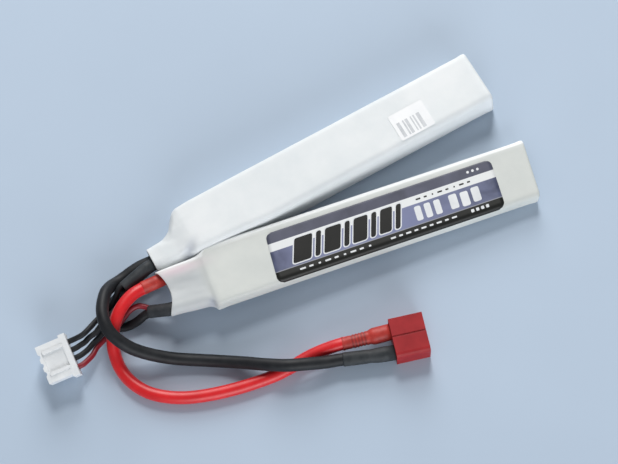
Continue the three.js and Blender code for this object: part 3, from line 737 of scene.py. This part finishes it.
def label_look():
    """A slate film that darkens to one end, with a pale stripe and a black strip."""
    material, add, link, shader = graph("printed_slate_film")
    place = add("ShaderNodeTexCoord").outputs["Object"]
    split = add("ShaderNodeSeparateXYZ")
    link(place, split.inputs["Vector"])

    def line(value, low, high):
        node = add("ShaderNodeMapRange", clamp=True)
        for key, number in (("From Min", low), ("From Max", high)):
            node.inputs[key].default_value = number * MM
        link(value, node.inputs["Value"])
        return node.outputs["Result"]

    def mix(factor, a, b):
        node = add("ShaderNodeMix", data_type="RGBA")
        link(factor, node.inputs["Factor"])
        for socket, value in (("A", a), ("B", b)):
            if isinstance(value, tuple):
                node.inputs[socket].default_value = (*value, 1)
            else:
                link(value, node.inputs[socket])
        return node.outputs["Result"]

    def both(a, b):
        node = add("ShaderNodeMath", operation="MULTIPLY")
        link(a, node.inputs[0])
        link(b, node.inputs[1])
        return node.outputs["Value"]

    x, y = split.outputs["X"], split.outputs["Y"]
    streaks = add("ShaderNodeTexNoise", Scale=140.0, Detail=5.0, Distortion=0.6)
    link(place, streaks.inputs["Vector"])
    cloud = ramp_of(add, 0.3, 0.7, srgb(66, 70, 92), srgb(112, 118, 146))
    link(streaks.outputs["Fac"], cloud.inputs["Fac"])
    middle = both(line(x, -34, -14), line(x, 36, 4))
    base = mix(middle, cloud.outputs["Color"], srgb(124, 130, 164))
    top_band = mix(streaks.outputs["Fac"], srgb(58, 60, 72), srgb(96, 98, 116))
    base = mix(line(y, 2.86, 2.94), base, top_band)
    stripe = both(line(y, 0.44, 0.5), line(y, 2.9, 2.84))
    base = mix(stripe, base, srgb(226, 228, 228))
    base = mix(line(y, -5.6, -5.66), base, srgb(150, 152, 160))
    base = mix(line(y, -5.82, -5.88), base, srgb(28, 29, 27))
    link(base, shader.inputs["Base Color"])
    gloss = add("ShaderNodeMapRange")
    gloss.inputs["To Min"].default_value = 0.34
    gloss.inputs["To Max"].default_value = 0.46
    link(streaks.outputs["Fac"], gloss.inputs["Value"])
    link(gloss.outputs["Result"], shader.inputs["Roughness"])
    swell = add("ShaderNodeBump", Strength=0.2, Distance=0.0002)
    link(streaks.outputs["Fac"], swell.inputs["Height"])
    link(swell.outputs["Normal"], shader.inputs["Normal"])
    shader.inputs["Specular IOR Level"].default_value = 0.3
    return material


def label_grid(columns, rows, lift):
    points = []
    for row in range(rows + 1):
        y = LABEL["near"] + (LABEL["far"] - LABEL["near"]) * row / rows
        from_edge = min(y - LABEL["near"], LABEL["far"] - y, LABEL["corner"])
        short = LABEL["corner"] - math.sqrt(
            max(0.0, LABEL["corner"] ** 2 - (LABEL["corner"] - from_edge) ** 2))
        low, high = LABEL["left"] + short, LABEL["right"] - short
        for column in range(columns + 1):
            points.append(on_front(low + (high - low) * column / columns, y, lift))
    return points


COLUMNS, ROWS = 60, 40
under = label_grid(COLUMNS, ROWS, 0.0)
over = label_grid(COLUMNS, ROWS, 0.1)
size = len(under)
label_faces = []
for row in range(ROWS):
    for column in range(COLUMNS):
        a = row * (COLUMNS + 1) + column
        quad = (a, a + 1, a + COLUMNS + 2, a + COLUMNS + 1)
        label_faces.append(tuple(reversed(quad)))
        label_faces.append(tuple(i + size for i in quad))
border = [c for c in range(COLUMNS + 1)]
border += [r * (COLUMNS + 1) + COLUMNS for r in range(1, ROWS + 1)]
border += [ROWS * (COLUMNS + 1) + c for c in range(COLUMNS - 1, -1, -1)]
border += [r * (COLUMNS + 1) for r in range(ROWS - 1, 0, -1)]
for a, b in zip(border, [*border[1:], border[0]]):
    label_faces.append((a, b, b + size, a + size))
label = make_object("front_printed_label", under + over, label_faces, label_look())
label.matrix_world = SINGLE_FRAME

print_black = surface(
    "printed_black", srgb(14, 15, 14), srgb(26, 26, 25), (0.36, 0.48), specular=0.25,
)
print_white = surface(
    "printed_white", srgb(214, 217, 220), srgb(228, 230, 232), (0.36, 0.48), specular=0.3,
)


def slab(x, y, width, height, slant, corner, lift, thick):
    """Corners of a thin slanted rounded block, lower ring first. x and y are its middle."""
    ring = []
    for quarter in range(4):
        sx, sy = ((1, 1), (-1, 1), (-1, -1), (1, -1))[quarter]
        for step in range(4):
            angle = (quarter + step / 3) * math.pi / 2
            px = sx * (width / 2 - corner) + corner * math.cos(angle)
            py = sy * (height / 2 - corner) + corner * math.sin(angle)
            ring.append((x + px + slant * py, y + py))
    return [
        [on_front(px, py, level) for px, py in ring] for level in (lift, lift + thick)
    ]


def blocks(name, items, look, lift, thick=0.03):
    """One piece of many thin blocks; items are (x, y, width, height, slant, corner)."""
    vertices, faces = [], []
    for item in items:
        low, high = slab(*item, lift, thick)
        n, start = len(low), len(vertices)
        vertices += low + high
        faces.append(tuple(start + k for k in reversed(range(n))))
        faces.append(tuple(start + n + k for k in range(n)))
        for k in range(n):
            after = (k + 1) % n
            faces.append((start + k, start + after, start + n + after, start + n + k))
    made = make_object(name, vertices, faces, look, smooth=False)
    made.matrix_world = SINGLE_FRAME
    return made


# A row of slanted bars, broad and narrow by turns, fills the middle of the label.
BAR_SLANT = 0.3
BAR_Y = -1.4
bars, x = [], -24.6
for width in (5.4, 1.5, 4.8, 1.5, 4.2, 1.5, 3.6, 1.5):
    bars.append((x + width / 2, BAR_Y, width, 7.0, BAR_SLANT, 0.6))
    x += width + 1.15
outlines = [(bx, by, w + 0.7, h + 0.7, s, c + 0.3) for bx, by, w, h, s, c in bars]
# Plain upright blocks and dashes fill the rest.
gauge = [(12.6 + 2.9 * k, -2.5, 1.9, 4.4, 0.0, 0.5) for k in range(3)]
gauge += [(23.2 + 3.4 * k, -2.5 - 0.3 * (k % 2), 2.4, 4.4, 0.0, 0.5) for k in range(3)]
dashes = [(-23.4 + 2.5 * k, -7.05, 1.7 - 0.5 * (k % 3), 0.5, 0.0, 0.12) for k in range(9)]
dashes += [(3.6 + 2.3 * k, -7.05, 1.5 - 0.4 * (k % 2), 0.5, 0.0, 0.12) for k in range(9)]
dashes += [(27.6 + 1.5 * k, -6.95, 0.9, 0.95, 0.0, 0.2) for k in range(4)]
dashes += [(29.6 + 1.5 * k, 4.5, 0.8, 0.8, 0.0, 0.38) for k in range(3)]
small = [(13.6 + 2.2 * k, 1.65, 1.4 - 0.5 * (k % 3), 0.45, 0.0, 0.1) for k in range(8)]
marks = [
    blocks("label_bar_outlines", outlines, print_white, 0.1),
    blocks("label_bars", bars, print_black, 0.13),
    blocks("label_gauge_blocks", gauge, print_white, 0.1),
    blocks("label_dashes", dashes, print_white, 0.1),
    blocks("label_small_dashes", small, print_black, 0.1),
]

# ------------------------------------------------------------------ code sticker
STICKER = {"x": 23.9, "y": -2.9, "length": 11.0, "width": 8.6}


def flat_block(x, y, z, width, height, corner, thick, slant=0.0):
    ring = []
    for quarter in range(4):
        sx, sy = ((1, 1), (-1, 1), (-1, -1), (1, -1))[quarter]
        for step in range(5):
            angle = (quarter + step / 4) * math.pi / 2
            px = sx * (width / 2 - corner) + corner * math.cos(angle)
            py = sy * (height / 2 - corner) + corner * math.sin(angle)
            ring.append((x + px + slant * py, y + py))
    return [[Vector((px, py, level)) for px, py in ring] for level in (z, z + thick)]


def flat_blocks(name, items, look):
    vertices, faces = [], []
    for item in items:
        low, high = flat_block(*item)
        n, start = len(low), len(vertices)
        vertices += low + high
        faces.append(tuple(start + k for k in reversed(range(n))))
        faces.append(tuple(start + n + k for k in range(n)))
        for k in range(n):
            after = (k + 1) % n
            faces.append((start + k, start + after, start + n + after, start + n + k))
    return make_object(name, vertices, faces, look, smooth=False)


sticker = flat_blocks(
    "code_sticker_paper",
    [(STICKER["x"], STICKER["y"], DOUBLE_HEIGHT, STICKER["length"], STICKER["width"], 0.5, 0.12)],
    sticker_look,
)
code = [(20.0, 1.0), (21.6, 0.5), (22.6, 0.9), (24.1, 0.4), (25.0, 0.5), (26.4, 1.1)]
sticker_bars = flat_blocks(
    "code_sticker_bars",
    [(cx, -4.1, DOUBLE_HEIGHT + 0.12, w, 4.9, 0.08, 0.02) for cx, w in code],
    bar_look,
)

# ------------------------------------------------------------------ plugs
def moulded(name, node_name, look, radius_mm, segments=3, rounded=None):
    """A moulded housing on its frame node's shape, with softened edges.

    rounded is (test of a millimetre point, radius): edges that lie in the test get that radius."""
    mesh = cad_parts[node_name].data.copy()
    mesh.name = name
    work = bmesh.new()
    work.from_mesh(mesh)
    bmesh.ops.remove_doubles(work, verts=work.verts, dist=1e-6)
    bmesh.ops.dissolve_limit(
        work, angle_limit=math.radians(1.0), verts=work.verts, edges=work.edges)
    if rounded:
        inside, radius = rounded
        edges = [e for e in work.edges if all(inside(v.co / MM) for v in e.verts)]
        bmesh.ops.bevel(
            work, geom=edges, offset=radius * MM, segments=6, profile=0.5, affect="EDGES")
    bmesh.ops.recalc_face_normals(work, faces=work.faces)
    work.to_mesh(mesh)
    work.free()
    mesh.materials.clear()
    mesh.materials.append(look)
    made = bpy.data.objects.new(name, mesh)
    scene.collection.objects.link(made)
    bevel = made.modifiers.new("edges", "BEVEL")
    bevel.width = radius_mm * MM
    bevel.segments = segments
    bevel.limit_method = "ANGLE"
    bevel.angle_limit = math.radians(35)
    bevel.harden_normals = False
    for polygon in mesh.polygons:
        polygon.use_smooth = False
    return made


PLUG_TURN = math.radians(-16.8)


def near_plug_edge(point):
    """Whether a point is on the power plug's long upper edge that faces away from the sticks."""
    dx, dy = point.x + 8.1, point.y + 56.6
    across = dy * math.cos(PLUG_TURN) - dx * math.sin(PLUG_TURN)
    return across < -5.6 and point.z > 7.25


power_plug = moulded(
    "power_plug_shell", "power_plug_housing", plug_red_look, 0.3, rounded=(near_plug_edge, 1.3))
balance_plug = moulded("balance_plug_shell", "balance_plug_housing", plug_white_look, 0.16, 2)

# Two low ribs stand along the ends of the balance plug's recess.
BALANCE_FRAME = (
    Matrix.Translation(Vector((-91.7, -14.7, 6.3)) * MM)
    @ Matrix.Rotation(math.radians(-6.2), 4, "Z")
    @ Matrix.Rotation(math.radians(-2), 4, "Y")
    @ Matrix.Rotation(math.radians(12), 4, "X")
)
ribs = flat_blocks(
    "balance_plug_ribs",
    [(-4.55, side * 3.15, 2.3, 6.2, 0.9, 0.3, 0.8) for side in (-1, 1)],
    plug_white_look,
)
ribs.matrix_world = BALANCE_FRAME

# ------------------------------------------------------------------ what moves with what
for piece in (rear_sleeve, sticker, sticker_bars):
    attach(piece, "double_stick")
for piece in (front_sleeve, label, *marks, red_lead, wires[3][0], front_bundle, collar,
              red_plug_sleeve, black_plug_sleeve, power_plug, balance_plug, ribs):
    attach(piece, "single_stick")
for piece in (black_lead, link_lead, rear_bundle, *[w[0] for w in wires[:3]]):
    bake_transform(piece)

STANDS_FOR = (
    (rear_sleeve, "sleeve", "rear_sleeve"), (sticker, "sticker", "rear_code_sticker"),
    (front_sleeve, "sleeve", "front_sleeve"), (label, "label", "front_label"),
    (black_lead, "black_lead", "main_lead_black"), (red_lead, "red_lead", "main_lead_red"),
    (link_lead, "black_lead", "link_lead"),
    (wires[0][0], "black_lead", "balance_wire_1"), (wires[1][0], "black_lead", "balance_wire_2"),
    (wires[2][0], "black_lead", "balance_wire_3"), (wires[3][0], "red_wire", "balance_wire_4"),
    (rear_bundle, "black_shrink", "rear_bundle_sleeve"),
    (front_bundle, "black_shrink", "front_bundle_sleeve"),
    (collar, "red_shrink", "front_lead_collar"),
    (red_plug_sleeve, "red_shrink", "plug_sleeve_red"),
    (black_plug_sleeve, "black_shrink", "plug_sleeve_black"),
    (power_plug, "plug_red", "power_plug_housing"),
    (balance_plug, "plug_white", "balance_plug_housing"),
)
for piece, slot, node_name in STANDS_FOR:
    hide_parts(node_name)


# ------------------------------------------------------------------ floor and light
floor_look = surface(
    "pale_floor", srgb(178, 194, 212), srgb(183, 199, 217), (0.6, 0.7), mottle=6.0,
    grain=900.0, bump=0.05, relief=0.00002, specular=0.3,
)
floor = make_object(
    "floor", [(-3000, -3000, -0.05), (3000, -3000, -0.05), (3000, 3000, -0.05),
              (-3000, 3000, -0.05)], [(0, 1, 2, 3)], floor_look)


def area_light(name, towards, distance, size, power, colour):
    light_data = bpy.data.lights.new(name, "AREA")
    light_data.shape = "DISK"
    light_data.size = size
    light_data.energy = power
    light_data.color = colour
    light = bpy.data.objects.new(name, light_data)
    light.location = CAMERA_TARGET + Vector(towards).normalized() * distance
    light.rotation_mode = "QUATERNION"
    light.rotation_quaternion = (-Vector(towards)).to_track_quat("-Z", "Y")
    scene.collection.objects.link(light)


area_light("key_light", (0.29, 0.54, 0.79), 1.1, 0.3, 4.6, (1.0, 0.98, 0.95))
area_light("near_light", (-0.25, -1.0, 0.34), 1.2, 0.9, 11.0, (0.96, 0.98, 1.0))
area_light("far_light", (0.40, 0.86, 0.5), 1.2, 0.7, 9.5, (1.0, 1.0, 1.0))
world = bpy.data.worlds.new("studio")
world.use_nodes = True
world.node_tree.nodes["Background"].inputs["Color"].default_value = (0.93, 0.96, 1.0, 1)
world.node_tree.nodes["Background"].inputs["Strength"].default_value = 0.26
scene.world = world
scene.view_settings.view_transform = "Standard"
